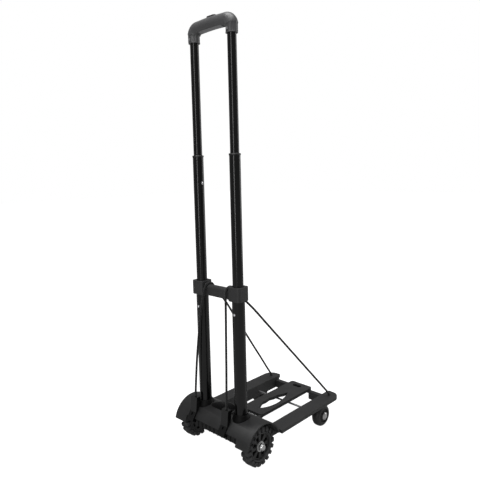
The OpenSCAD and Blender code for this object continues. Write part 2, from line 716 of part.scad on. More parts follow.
// Outline of the right arm seen from above, pulled in by a distance
function arm_outline(inset) =
    concat([[platform_x - inset, platform_rear + inset]],
           arc(platform_x - 26, platform_front - 26, 26 - inset, 0, 70),
           arc(arm_in + 6, platform_front - 6, 6 - min(inset, 5), 90, 180, 4),
           [[arm_in + inset, platform_rear + inset]]);

module right_arm() color([0.27, 0.27, 0.28]) difference() {
    under = platform_top - shell_t;
    union() {
        difference() {
            translate([0, 0, platform_top - lip_drop]) linear_extrude(lip_drop) polygon(arm_outline(0));
            translate([0, 0, platform_top - lip_drop - 1]) linear_extrude(lip_drop - shell_t + 1)
                polygon(arm_outline(shell_t));
        }
        block([arm_in, platform_rear, platform_top - arm_wall_h], [arm_in + shell_t, platform_front - 8, under]);
        // Eye for the hinge pin
        x_rod(2 * lug_r, arm_in, arm_in + shell_t + 3, hinge_y, hinge_z);
    }
    x_rod(hinge_d + 2 * slide_gap, arm_in - 1, arm_in + shell_t + 0.2, hinge_y, hinge_z);
    translate([cord_hole_x, cord_hole_y, under - 1]) cylinder(d = cord_hole, h = shell_t + 2);
    x_rod(steel_rod_d + 0.1, arm_in - 1, arm_in + shell_t + 1, rod_y, rod_z);
}

module left_arm() mirror([1, 0, 0]) right_arm();

// Bar across the front, open below
module front_bar() color([0.2, 0.2, 0.21]) difference() {
    low = front_bar_top - front_bar_h;
    block([-arm_in + 0.05, bar_y, low], [arm_in - 0.05, bar_y + bar_t, front_bar_top]);
    for (s = [-1, 1]) block([s * arm_in / 2 - arm_in / 2 + 4, bar_y + 2.5, low - 1],
                            [s * arm_in / 2 + arm_in / 2 - 4, bar_y + bar_t - 2.5, front_bar_top - 2.5]);
    // Gap under the board
    block([-board_w / 2 + 1, bar_y - 1, low - 1], [board_w / 2 - 1, bar_y + bar_t + 1, front_bar_top - 5]);
}

// Half of the carry slot's outline, smooth on one side and wavy for the fingers on the other
function slot_half(side, depth, waves) =
    [for (i = [0:24]) let (t = i / 24, y = slot_rear + (slot_front - slot_rear) * t)
        [slot_x + side * depth * pow(sin(180 * pow(t, 0.8)), 0.8) - side * waves * pow(sin(720 * t), 2), y]];

// Centre board: shallow tray, open below, turned down over the front bar, with ears on the hinge pin
module centre_board() color([0.24, 0.24, 0.25]) difference() {
    low = board_top - board_drop;
    middle = (board_rear + board_front) / 2;
    length = board_front - board_rear;
    slot_line = concat(slot_half(1, 17, 0), [for (i = [23:-1:1]) slot_half(-1, 15, 2.5)[i]]);
    union() {
        difference() {
            translate([0, middle, low]) linear_extrude(board_drop) polygon(round_rect(board_w, length, 6));
            translate([0, middle, low - 1]) linear_extrude(board_drop - shell_t + 1)
                polygon(round_rect(board_w - 2 * shell_t, length - 2 * shell_t, 3.5));
        }
        // Collar round the carry slot
        translate([slot_x, (slot_rear + slot_front) / 2, low]) linear_extrude(board_drop - 1)
            polygon(round_rect(46, slot_front - slot_rear + 8, 20));
        // Turned-down front
        block([-board_w / 2 + 6, board_front - shell_t, front_bar_top - 6], [board_w / 2 - 6, board_front, low + 1]);
        // Ears on the hinge pin
        for (s = [-1, 1]) side_extrude(s * (ear_x + ear_t / 2) - ear_t / 2, s * (ear_x + ear_t / 2) + ear_t / 2)
            union() {
                translate([hinge_y, hinge_z]) circle(r = lug_r);
                polygon([[hinge_y - 2, hinge_z - lug_r + 0.3], [board_rear + 8, low + 0.2],
                         [board_rear + 8, board_top - 1], [hinge_y, hinge_z + lug_r]]);
            }
    }
    translate([0, 0, low - 2]) linear_extrude(board_drop + 4) polygon(slot_line);
    x_rod(hinge_d + 2 * slide_gap, -board_w, board_w, hinge_y, hinge_z);
    // Oval hole near the front
    translate([-3, board_front - 18, board_top - shell_t - 1]) linear_extrude(shell_t + 2) polygon(round_rect(26, 12, 5.9));
}

module cross_rod() color([0.75, 0.75, 0.76])
    x_rod(steel_rod_d, -arm_in - shell_t - 1, arm_in + shell_t + 1, rod_y, rod_z);

// Bracket that hangs under an arm and carries a front wheel
module right_wheel_bracket() color([0.1, 0.1, 0.11]) difference() {
    under = platform_top - shell_t;
    union() {
        side_extrude(bracket_x, bracket_x + bracket_t) polygon(concat(
            arc(front_y, front_z, 12, 180, 340),
            [[front_y + 20, under - 0.1], [front_y - 32, under - 0.1], [front_y - 32, under - 16]]));
        x_rod(16, bracket_x + bracket_t - 0.1, front_x - front_w / 2 - hub_gap, front_y, front_z);
        block([bracket_x, front_y - 32, under - 4.1], [front_x + 8, front_y - 29, under - 0.1]);
    }
    x_rod(bolt_d + 0.1, bracket_x + bracket_skin, front_x, front_y, front_z);
}

module left_wheel_bracket() mirror([1, 0, 0]) right_wheel_bracket();

// Solid front wheel with round shoulders and a recess for the bolt's head
module right_front_wheel() color([0.09, 0.09, 0.09]) translate([front_x, front_y, front_z]) difference() {
    half = front_w / 2;
    r = front_d / 2;
    rotate([0, 90, 0]) rotate_extrude() polygon(concat(
        [[bolt_d / 2 + slide_gap, -half]], arc(r - 8, -half + 8, 8, -90, 0, 6),
        arc(r - 8, half - 8, 8, 0, 90, 6), [[bolt_d / 2 + slide_gap, half]]));
    x_rod(ring_d + 2, half - head_recess, half + 1, 0, 0);
}

module left_front_wheel() mirror([1, 0, 0]) right_front_wheel();

// Plastic rings under the bolts' heads
module front_washers() color([0.1, 0.1, 0.11]) both_sides() difference() {
    face = front_x + front_w / 2 - head_recess + 0.3;
    x_rod(ring_d, face, face + 1, front_y, front_z);
    x_rod(bolt_d + 0.3, face - 1, face + 2, front_y, front_z);
}

// Bolts with a hexagon domed head outside, held in a blind bore of the bracket
module front_wheel_bolts() color([0.85, 0.85, 0.87]) both_sides() {
    face = front_x + front_w / 2 - head_recess + 1.4;
    x_rod(bolt_d, bracket_x + bracket_skin + 0.3, face + 1, front_y, front_z);
    translate([face, front_y, front_z]) rotate([0, 90, 0]) {
        cylinder(d = bolt_head_d, h = 3.4, $fn = 6);
        translate([0, 0, 3.3]) cylinder(d1 = bolt_head_d - 4, d2 = bolt_head_d - 9, h = bolt_head_h - 3.3);
    }
}

// ---------- Cords and hooks ----------

// Knots that hold the cords under the arms
module cord_knots() color([0.04, 0.04, 0.04]) both_sides() difference() {
    translate([cord_hole_x, cord_hole_y, knot_z]) sphere(d = knot_d, $fn = 24);
    translate([cord_hole_x, cord_hole_y, cord_start - 0.3]) cylinder(d = cord_d + 0.6, h = knot_d);
}

module right_cord() color([0.04, 0.04, 0.04]) swept_bar(smooth_line(right_route, 3), cord_d / 2, 8, [1, 0, 0]);
module left_cord() color([0.04, 0.04, 0.04]) swept_bar(smooth_line(left_route, 3), cord_d / 2, 8, [1, 0, 0]);

// Flat hook that lies on the housing's back and grips its lower edge
module hook(x) {
    inner = housing_r + hook_gap;
    outer = inner + hook_t;
    lip_r = housing_inner - hook_gap;
    top_angle = 132;
    low_angle = 180 - rear_edge;
    foot = cord_foot_y - axle_y;
    top = hook_top - axle_z;
    difference() {
        // One outline: down the back of the shank and the strap, round the housing's edge and back up
        side_extrude(x - hook_w / 2, x + hook_w / 2) translate([axle_y, axle_z]) polygon(concat(
            [[foot - 5, top], [foot - 8, top - 26]],
            arc(0, 0, outer, top_angle + 5, low_angle + hook_turn, 10),
            arc(0, 0, lip_r - hook_t, low_angle + hook_turn, low_angle - 6, 3),
            arc(0, 0, lip_r, low_angle - 6, low_angle + 1, 2),
            arc(0, 0, inner, low_angle + 1, top_angle + 1, 8),
            [[foot + 3, top - 20], [foot + 5, top]]));
        // Bore that the cord goes into
        translate([x, cord_foot_y, hook_top - 9]) cylinder(d = cord_d + 0.4, h = 20);
        // Slot in the strap
        translate([x, axle_y, axle_z]) rotate([52, 0, 0]) block([-2, -3, housing_r - 2], [2, 3, housing_r + 8]);
    }
}

module left_hook() color([0.13, 0.13, 0.14]) hook(left_hook_x);
module right_hook() color([0.13, 0.13, 0.14]) hook(right_hook_x);

// Moves the cart so that the middle of its depth is at y = 0
module placed() translate([0, -depth_middle, 0]) children();

placed() rear_housing();
placed() chassis();
placed() left_tube_boot();
placed() right_tube_boot();
placed() left_lower_tube();
placed() right_lower_tube();
placed() crossbar();
placed() crossbar_screws();
placed() left_lower_bush();
placed() right_lower_bush();
placed() lower_lock_studs();
placed() left_middle_tube();
placed() right_middle_tube();
placed() left_collar();
placed() right_collar();
placed() upper_lock_studs();
placed() left_middle_plug();
placed() right_middle_plug();
placed() middle_lock_pins();
placed() middle_pin_springs();
placed() left_upper_tube();
placed() right_upper_tube();
placed() left_upper_plug();
placed() right_upper_plug();
placed() left_lock_pin();
placed() right_lock_pin();
placed() left_pin_spring();
placed() right_pin_spring();
placed() grip_shell();
placed() grip_cover();
placed() grip_screws();
placed() release_button();
placed() button_spring();
placed() release_yoke();
placed() push_rods();
placed() rear_axle();
placed() axle_spacers();
placed() axle_washers();
placed() cap_nuts();
placed() left_rear_hub();
placed() right_rear_hub();
placed() left_rear_tyre();
placed() right_rear_tyre();
placed() hinge_pin();
placed() left_arm();
placed() right_arm();
placed() front_bar();
placed() centre_board();
placed() cross_rod();
placed() left_wheel_bracket();
placed() right_wheel_bracket();
placed() left_front_wheel();
placed() right_front_wheel();
placed() front_wheel_bolts();
placed() front_washers();
placed() cord_knots();
placed() left_cord();
placed() right_cord();
placed() left_hook();
placed() right_hook();
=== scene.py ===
"""Looks of the folding hand truck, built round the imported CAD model. Metres; +Z up, +Y to the front."""
import json
import math

import bpy
import bmesh
from mathutils import Matrix, Vector


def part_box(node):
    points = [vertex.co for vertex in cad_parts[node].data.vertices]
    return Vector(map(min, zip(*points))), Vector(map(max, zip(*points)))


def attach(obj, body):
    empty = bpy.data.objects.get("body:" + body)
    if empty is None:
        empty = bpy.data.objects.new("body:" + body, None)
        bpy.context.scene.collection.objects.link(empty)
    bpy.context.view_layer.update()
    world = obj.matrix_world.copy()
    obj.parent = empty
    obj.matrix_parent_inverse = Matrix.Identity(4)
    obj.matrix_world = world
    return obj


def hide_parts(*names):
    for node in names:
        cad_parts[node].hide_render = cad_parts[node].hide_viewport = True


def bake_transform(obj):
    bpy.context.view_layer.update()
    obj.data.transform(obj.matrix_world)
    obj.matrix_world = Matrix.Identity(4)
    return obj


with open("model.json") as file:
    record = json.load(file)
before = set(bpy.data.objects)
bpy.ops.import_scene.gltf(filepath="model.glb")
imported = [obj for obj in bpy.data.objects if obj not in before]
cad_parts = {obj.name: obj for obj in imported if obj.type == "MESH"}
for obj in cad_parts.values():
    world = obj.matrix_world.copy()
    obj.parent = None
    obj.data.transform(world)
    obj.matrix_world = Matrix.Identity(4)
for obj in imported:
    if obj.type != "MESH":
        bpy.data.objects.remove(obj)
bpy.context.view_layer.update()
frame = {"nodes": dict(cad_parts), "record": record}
NODES = frame["nodes"]
MM = 0.001
SIDES = ("left", "right")
# The hinge pin's distance in front of the handle tubes' plane
HINGE_Y = 78 * MM
# The plane of the handle tubes
PLANE_Y = (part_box("hinge_pin")[0].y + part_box("hinge_pin")[1].y) / 2 - HINGE_Y

# Camera: direction in degrees, place in front of the tubes' plane, lens in millimetres and shift
YAW, PITCH, ROLL = 43.84, 6.23, -1.38
CAMERA_PLACE = (0.7795, -0.7395, 0.6245)
LENS, SENSOR = 37.285, 36
SHIFT_X, SHIFT_Y = -0.0018, -0.0257

# Floor: half its side, and its depth under the wheels
FLOOR_HALF = 12
FLOOR_DROP = 0.5 * MM

# Grip, in metres
ELBOW_BEND = 14.5 * MM
ARCH = 1.5 * MM
SOCKET_H = 17.2 * MM
SOCKET_R = 12.2 * MM
ELBOW_R = 14 * MM
SOCKET_RIBS = 7
COVER_REACH = 34.5 * MM
GRIP_COUNT = 72

# Rear tyres
LUGS = 18
STEPS_PER_LUG = 14
LUG_DEPTH = 4.2 * MM

# Cords
CORD_COUNT = 16
CORD_CUTS = 6


def from_plane(x, y, z):
    """A point given by its distance in front of the handle tubes' plane."""
    return Vector((x, y + PLANE_Y, z))


# ---------- Camera and light ----------

def add_camera():
    """The camera at the picture's viewing angle."""
    yaw, pitch, roll = math.radians(YAW), math.radians(PITCH), math.radians(ROLL)
    forward = Vector((-math.sin(yaw) * math.cos(pitch), math.cos(yaw) * math.cos(pitch), -math.sin(pitch)))
    right = Vector((math.cos(yaw), math.sin(yaw), 0))
    up = right.cross(forward)
    turned_right = right * math.cos(roll) + up * math.sin(roll)
    turned_up = up * math.cos(roll) - right * math.sin(roll)
    data = bpy.data.cameras.new("camera")
    data.lens, data.sensor_width = LENS, SENSOR
    data.shift_x, data.shift_y = SHIFT_X, SHIFT_Y
    data.clip_start = 0.01
    camera = bpy.data.objects.new("camera", data)
    axes = Matrix((turned_right, turned_up, -forward)).transposed().to_4x4()
    camera.matrix_world = Matrix.Translation(from_plane(*CAMERA_PLACE)) @ axes
    bpy.context.collection.objects.link(camera)
    bpy.context.scene.camera = camera


def add_light(name, place, target, width, height, radiance):
    """A softbox that faces a point. Its power follows from the brightness of its face."""
    data = bpy.data.lights.new(name, "AREA")
    data.shape = "RECTANGLE"
    data.size, data.size_y = width, height
    data.energy = radiance * math.pi * width * height
    light = bpy.data.objects.new(name, data)
    light.location = from_plane(*place)
    light.rotation_euler = (from_plane(*target) - light.location).to_track_quat("-Z", "Y").to_euler()
    bpy.context.collection.objects.link(light)


def add_world(seen, lit):
    """White where the camera looks past the object, and dimmer for the light that falls on it."""
    world = bpy.data.worlds.new("world")
    bpy.context.scene.world = world
    world.use_nodes = True
    nodes, links = world.node_tree.nodes, world.node_tree.links
    nodes.clear()
    output = nodes.new("ShaderNodeOutputWorld")
    mix = nodes.new("ShaderNodeMixShader")
    path = nodes.new("ShaderNodeLightPath")
    shades = []
    for strength in (lit, seen):
        shade = nodes.new("ShaderNodeBackground")
        shade.inputs["Color"].default_value = (1, 1, 1, 1)
        shade.inputs["Strength"].default_value = strength
        shades.append(shade)
    links.new(path.outputs["Is Camera Ray"], mix.inputs[0])
    links.new(shades[0].outputs[0], mix.inputs[1])
    links.new(shades[1].outputs[0], mix.inputs[2])
    links.new(mix.outputs[0], output.inputs["Surface"])


def add_floor(seen, lit):
    """White to the camera, like the background, and dimmer for the light that it sends to the object."""
    mesh = bpy.data.meshes.new("floor")
    corners = [(x * FLOOR_HALF, y * FLOOR_HALF, 0) for x, y in ((-1, -1), (1, -1), (1, 1), (-1, 1))]
    mesh.from_pydata(corners, [], [(0, 1, 2, 3)])
    floor = bpy.data.objects.new("floor", mesh)
    floor.location.z = -FLOOR_DROP
    bpy.context.collection.objects.link(floor)
    material = bpy.data.materials.new("floor")
    material.use_nodes = True
    shader = material.node_tree.nodes["Principled BSDF"]
    shader.inputs["Base Color"].default_value = (0.3, 0.3, 0.3, 1)
    shader.inputs["Roughness"].default_value = 0.9
    shader.inputs["Specular IOR Level"].default_value = 0
    shader.inputs["Emission Color"].default_value = (1, 1, 1, 1)
    path = material.node_tree.nodes.new("ShaderNodeLightPath")
    strength = material.node_tree.nodes.new("ShaderNodeMapRange")
    strength.inputs["To Min"].default_value, strength.inputs["To Max"].default_value = lit, seen
    material.node_tree.links.new(path.outputs["Is Camera Ray"], strength.inputs["Value"])
    material.node_tree.links.new(strength.outputs["Result"], shader.inputs["Emission Strength"])
    mesh.materials.append(material)


# ---------- Materials ----------

def surface(name, dark, light, rough, grain=(), metallic=0.0, specular=0.5, coat=0.0, cloud=40, scratch=0.0):
    """A finish with cloudy colour, uneven roughness and one or two sizes of bump.

    grain holds (scale per metre, bump height in metres) pairs. scratch is the height in metres of fine
    upright lines."""
    material = bpy.data.materials.new(name)
    material.use_nodes = True
    tree = material.node_tree
    nodes, links = tree.nodes, tree.links
    shader = nodes["Principled BSDF"]
    shader.inputs["Metallic"].default_value = metallic
    shader.inputs["Specular IOR Level"].default_value = specular
    shader.inputs["Coat Weight"].default_value = coat
    shader.inputs["Coat Roughness"].default_value = 0.12
    place = nodes.new("ShaderNodeTexCoord").outputs["Object"]

    def noise(scale, detail=3):
        node = nodes.new("ShaderNodeTexNoise")
        node.inputs["Scale"].default_value = scale
        node.inputs["Detail"].default_value = detail
        links.new(place, node.inputs["Vector"])
        return node.outputs["Fac"]

    clouds = noise(cloud)
    ramp = nodes.new("ShaderNodeValToRGB")
    ramp.color_ramp.elements[0].position, ramp.color_ramp.elements[1].position = 0.35, 0.7
    ramp.color_ramp.elements[0].color = (*dark, 1)
    ramp.color_ramp.elements[1].color = (*light, 1)
    links.new(clouds, ramp.inputs["Fac"])
    links.new(ramp.outputs["Color"], shader.inputs["Base Color"])
    spread = nodes.new("ShaderNodeMapRange")
    spread.inputs["To Min"].default_value, spread.inputs["To Max"].default_value = rough
    links.new(noise(cloud * 4), spread.inputs["Value"])
    links.new(spread.outputs["Result"], shader.inputs["Roughness"])
    normal = None
    for scale, height in grain:
        bump = nodes.new("ShaderNodeBump")
        bump.inputs["Distance"].default_value = height
        bump.inputs["Strength"].default_value = 0.6
        links.new(noise(scale, 2), bump.inputs["Height"])
        if normal:
            links.new(normal, bump.inputs["Normal"])
        normal = bump.outputs["Normal"]
    if scratch:
        stretch = nodes.new("ShaderNodeMapping")
        stretch.inputs["Scale"].default_value = (1, 1, 0.03)
        links.new(place, stretch.inputs["Vector"])
        lines = nodes.new("ShaderNodeTexNoise")
        lines.inputs["Scale"].default_value = 1500
        links.new(stretch.outputs["Vector"], lines.inputs["Vector"])
        bump = nodes.new("ShaderNodeBump")
        bump.inputs["Distance"].default_value = scratch
        bump.inputs["Strength"].default_value = 0.4
        links.new(lines.outputs["Fac"], bump.inputs["Height"])
        if normal:
            links.new(normal, bump.inputs["Normal"])
        normal = bump.outputs["Normal"]
    if normal:
        links.new(normal, shader.inputs["Normal"])
    return material


def braid(name):
    """Braided cord cover: two families of strands that cross, from the piece's own UV map."""
    material = surface(name, (0.006, 0.006, 0.006), (0.014, 0.014, 0.015), (0.6, 0.8), specular=0.3,
                       cloud=300)
    nodes, links = material.node_tree.nodes, material.node_tree.links
    shader = nodes["Principled BSDF"]
    shader.inputs["Sheen Weight"].default_value = 0.15
    place = nodes.new("ShaderNodeTexCoord").outputs["UV"]
    heights = []
    for slant in (-1, 1):
        turn = nodes.new("ShaderNodeMapping")
        turn.inputs["Rotation"].default_value = (0, 0, slant * math.radians(40))
        links.new(place, turn.inputs["Vector"])
        wave = nodes.new("ShaderNodeTexWave")
        wave.inputs["Scale"].default_value = 260
        links.new(turn.outputs["Vector"], wave.inputs["Vector"])
        heights.append(wave.outputs["Fac"])
    both = nodes.new("ShaderNodeMath")
    both.operation = "MAXIMUM"
    links.new(heights[0], both.inputs[0])
    links.new(heights[1], both.inputs[1])
    bump = nodes.new("ShaderNodeBump")
    bump.inputs["Distance"].default_value = 0.0004
    bump.inputs["Strength"].default_value = 0.7
    links.new(both.outputs[0], bump.inputs["Height"])
    links.new(bump.outputs["Normal"], shader.inputs["Normal"])
    return material


def grey(value, tint=1.03):
    return (value, value, value * tint)


FINE = (2600, 0.00006)
PEBBLE = (900, 0.00012)
MATERIALS = {
    "housing_plastic": surface("housing", grey(0.011), grey(0.015), (0.42, 0.55), (PEBBLE, FINE)),
    "chassis_plastic": surface("chassis", grey(0.004), grey(0.007), (0.5, 0.65), (PEBBLE,), specular=0.3),
    "boot_rubber": surface("boot", grey(0.0015), grey(0.0025), (0.5, 0.62), (FINE,), specular=0.14),
    "tube_paint": surface("tube", grey(0.002), grey(0.003), (0.14, 0.2), ((1400, 0.000004),), specular=0.32,
                          coat=0.15),
    "crossbar_plastic": surface("crossbar", grey(0.02), grey(0.026), (0.45, 0.6), (PEBBLE, FINE)),
    "guide_plastic": surface("guide", grey(0.01), grey(0.015), (0.35, 0.5), (FINE,)),
    "pin_steel": surface("pin", grey(0.55), grey(0.65), (0.2, 0.35), (FINE,), metallic=1.0),
    "spring_steel": surface("spring", grey(0.4), grey(0.5), (0.25, 0.4), (FINE,), metallic=1.0),
    "grip_plastic": surface("grip", grey(0.075), grey(0.09), (0.32, 0.42), (PEBBLE, FINE)),
    "grip_cover_plastic": surface("grip_cover", grey(0.2), grey(0.25), (0.4, 0.5), (PEBBLE, FINE)),
    "button_plastic": surface("button", grey(0.004), grey(0.006), (0.25, 0.35), (FINE,)),
    "platform_plastic": surface("platform", grey(0.018), grey(0.023), (0.5, 0.65), (PEBBLE, FINE)),
    "hub_plastic": surface("hub", grey(0.014), grey(0.02), (0.4, 0.55), (PEBBLE,)),
    "tyre_rubber": surface("tyre", grey(0.035), grey(0.05), (0.55, 0.75), ((500, 0.0002), FINE),
                           specular=0.4),
    "front_wheel_rubber": surface("front_wheel", grey(0.008), grey(0.012), (0.4, 0.55), (PEBBLE,)),
    "bright_steel": surface("bright", grey(0.45, 1.0), grey(0.55, 1.0), (0.24, 0.38), ((700, 0.00005),),
                            metallic=1.0),
    "bare_steel": surface("bare", grey(0.4), grey(0.5), (0.3, 0.42), (FINE,), metallic=1.0, scratch=0.00003),
    "cord_fabric": braid("cord"),
    "hook_plastic": surface("hook", grey(0.0025), grey(0.004), (0.16, 0.26), (FINE,), specular=0.4),
}
# Width of the rounded edges of each CAD node, in millimetres; no entry means none
EDGES = {
    "rear_housing": 0.8, "chassis": 0.5, "crossbar": 1.2, "left_arm": 1.0, "right_arm": 1.0, "front_bar": 1.0,
    "centre_board": 0.8, "left_hook": 0.8, "right_hook": 0.8, "left_wheel_bracket": 0.6,
    "right_wheel_bracket": 0.6, "left_rear_hub": 0.6, "right_rear_hub": 0.6, "cap_nuts": 0.5,
    "front_wheel_bolts": 0.5, "axle_washers": 0.3, "front_washers": 0.2, "left_collar": 0.3,
    "right_collar": 0.3, "left_tube_boot": 0.8, "right_tube_boot": 0.8, "crossbar_screws": 0.3,
    "grip_screws": 0.3, "left_front_wheel": 0.5, "right_front_wheel": 0.5, "release_button": 0.6,
}


def dress_cad_nodes():
    """Gives every CAD node its material, and rounds the edges of those that show."""
    slots = {part["node"]: part["material_slot"] for part in frame["record"]["subparts"]}
    for name, node in NODES.items():
        for place in node.material_slots:
            place.material = MATERIALS[slots[name]]
        if not node.material_slots:
            node.data.materials.append(MATERIALS[slots[name]])
        if name in EDGES:
            weld = node.modifiers.new("weld", "WELD")
            weld.merge_threshold = 0.00002
            bevel = node.modifiers.new("bevel", "BEVEL")
            bevel.width = EDGES[name] * MM
            bevel.segments = 3
            bevel.limit_method = "ANGLE"
            bevel.angle_limit = math.radians(32)
            bevel.harden_normals = True


# ---------- Mesh tools ----------

def add_piece(name, points, faces, material, smooth_angle=40):
    mesh = bpy.data.meshes.new(name)
    mesh.from_pydata([tuple(p) for p in points], [], faces)
    mesh.validate()
    mesh.materials.append(material)
    piece = bpy.data.objects.new(name, mesh)
    bpy.context.collection.objects.link(piece)
    tidy_faces(mesh)
    mesh.shade_smooth()
    mesh.set_sharp_from_angle(angle=math.radians(smooth_angle))
    return piece


def tidy_faces(mesh):
    shape = bmesh.new()
    shape.from_mesh(mesh)
    bmesh.ops.recalc_face_normals(shape, faces=shape.faces)
    shape.to_mesh(mesh)
    shape.free()


def grid_faces(rows, columns, close_ends=True):
    """Faces between rings of points, each ring closed on itself."""
    faces = [(i * columns + k, i * columns + (k + 1) % columns,
              (i + 1) * columns + (k + 1) % columns, (i + 1) * columns + k)
             for i in range(rows - 1) for k in range(columns)]
    if close_ends:
        faces.append(tuple(range(columns - 1, -1, -1)))
        faces.append(tuple((rows - 1) * columns + k for k in range(columns)))
    return faces


def smooth_line(points, cuts):
    """Catmull-Rom line through points."""
    line = []
    last = len(points) - 1
    for i in range(last):
        a, b, c, d = (points[max(i - 1, 0)], points[i], points[i + 1], points[min(i + 2, last)])
        for k in range(cuts):
            t = k / cuts
            line.append(0.5 * (2 * b + (c - a) * t + (2 * a - 5 * b + 4 * c - d) * t * t
                               + (3 * b - a - 3 * c + d) * t ** 3))
    line.append(points[last])
    return line


def sweep(line, side, radius, count):
    """Rings of points round a line; radius(i, angle) is the distance from it, and side is never along it."""
    rings = []
    last = len(line) - 1
    for i, point in enumerate(line):
        ahead = (line[min(i + 1, last)] - line[max(i - 1, 0)]).normalized()
        across = ahead.cross(side).normalized()
        other = ahead.cross(across)
        for k in range(count):
            angle = 2 * math.pi * k / count
            rings.append(point + radius(i, angle) * (across * math.cos(angle) + other * math.sin(angle)))
    return rings


def cut(piece, points, faces):
    """Takes a closed shape out of a piece."""
    tool_mesh = bpy.data.meshes.new("tool")
    tool_mesh.from_pydata([tuple(p) for p in points], [], faces)
    tidy_faces(tool_mesh)
    tool = bpy.data.objects.new("tool", tool_mesh)
    bpy.context.collection.objects.link(tool)
    modifier = piece.modifiers.new("cut", "BOOLEAN")
    modifier.operation = "DIFFERENCE"
    modifier.object = tool
    modifier.solver = "EXACT"
    bpy.context.view_layer.objects.active = piece
    bpy.ops.object.modifier_apply(modifier=modifier.name)
    bpy.data.objects.remove(tool)
    piece.data.shade_smooth()
    piece.data.set_sharp_from_angle(angle=math.radians(40))


def prism(outline, low, high):
    """Points and faces of an upright prism."""
    count = len(outline)
    points = [Vector((x, y, low)) for x, y in outline] + [Vector((x, y, high)) for x, y in outline]
    return points, grid_faces(2, count)


def stadium(length, width, steps=12):
    """Outline with two round ends, centred, long along X."""
    r = width / 2
    half = length / 2 - r
    ends = [(half, -90), (-half, 90)]
    turns = [(x, math.radians(start + 180 * i / steps)) for x, start in ends for i in range(steps + 1)]
    return [(x + r * math.cos(turn), r * math.sin(turn)) for x, turn in turns]


# ---------- Grip ----------

def build_grip():
    """Arched bar, full elbows and ribbed sockets, with the button's well and the underside's cover."""
    low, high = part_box("grip_shell")
    tube_x = (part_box("right_upper_tube")[0].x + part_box("right_upper_tube")[1].x) / 2
    bar_r = (high.y - low.y) / 2
    mouth, top = low.z, high.z
    bend, arch = ELBOW_BEND, ARCH
    middle = top - bar_r
    end_z = middle - arch
    corner_x = tube_x - bend
    half_line = [Vector((corner_x * t, PLANE_Y, middle - arch * t * t)) for t in (i / 20 for i in range(20))]
    half_line += [Vector((corner_x + bend * math.sin(a), PLANE_Y, end_z - bend + bend * math.cos(a)))
                  for a in (math.radians(90 * i / 16) for i in range(17))]
    socket_top = end_z - bend
    half_line += [Vector((tube_x, PLANE_Y, socket_top + (mouth - socket_top) * t))
                  for t in (i / 24 for i in range(1, 25))]
    line = [Vector((-p.x, p.y, p.z)) for p in reversed(half_line[1:])] + half_line
    step_z = mouth + SOCKET_H

    def radius(i, angle):
        point = line[i]
        if point.z > step_z or abs(point.x) < tube_x - bend / 2:
            share = min(1, max(0, (abs(point.x) - 30 * MM) / (22 * MM)))
            return bar_r + (ELBOW_R - bar_r) * share * share * (3 - 2 * share)
        rib = max(0, math.cos(SOCKET_RIBS * angle)) ** 6
        rim = 0.5 * MM if point.z < mouth + 2 * MM else 0
        return SOCKET_R + rim + 0.9 * MM * rib * (point.z > mouth + 2 * MM)

    points = sweep(line, Vector((0, 1, 0)), radius, GRIP_COUNT)
    grip = add_piece("grip", points, grid_faces(len(line), GRIP_COUNT), MATERIALS["grip_plastic"])
    # Well of the release button
    well = [(x, y + PLANE_Y) for x, y in stadium(27 * MM, 13 * MM)]
    cut(grip, *prism(well, middle + 4 * MM, top + 5 * MM))
    # Dark gap at the end of the lower cover
    near, far, side = 35.5 * MM, 40 * MM, 8 * MM
    gap = [(x, y + PLANE_Y) for x, y in ((near, -side), (far, -side), (far, side), (near, side))]
    cut(grip, *prism(gap, middle - 30 * MM, middle - 13.2 * MM))
    soften = grip.modifiers.new("bevel", "BEVEL")
    soften.width, soften.segments, soften.limit_method = 0.35 * MM, 2, "ANGLE"
    soften.angle_limit = math.radians(40)
    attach(grip, "upper_stage")
    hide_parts("grip_shell")
    build_cover(line, bar_r, arch, middle)


def build_cover(line, bar_r, arch, middle):
    """Strip along the underside of the bar."""
    run = [p for p in line if abs(p.x) <= COVER_REACH and p.z > middle - arch]
    outline = []
    low, high = math.radians(235), math.radians(305)
    steps = 16
    for i in range(steps + 1):
        angle = low + (high - low) * i / steps
        outline.append(((bar_r + 0.35 * MM) * math.cos(angle), (bar_r + 0.35 * MM) * math.sin(angle)))
    for i in range(steps, -1, -1):
        angle = low + (high - low) * i / steps
        outline.append(((bar_r - 1.2 * MM) * math.cos(angle), (bar_r - 1.2 * MM) * math.sin(angle)))
    points = [Vector((p.x, p.y + across, p.z + up)) for p in run for across, up in outline]
    cover = add_piece("grip_cover_strip", points, grid_faces(len(run), len(outline)),
                      MATERIALS["grip_cover_plastic"])
    soften = cover.modifiers.new("bevel", "BEVEL")
    soften.width, soften.segments, soften.limit_method = 0.3 * MM, 2, "ANGLE"
    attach(cover, "upper_stage")
    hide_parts("grip_cover")


# ---------- Rear tyres ----------

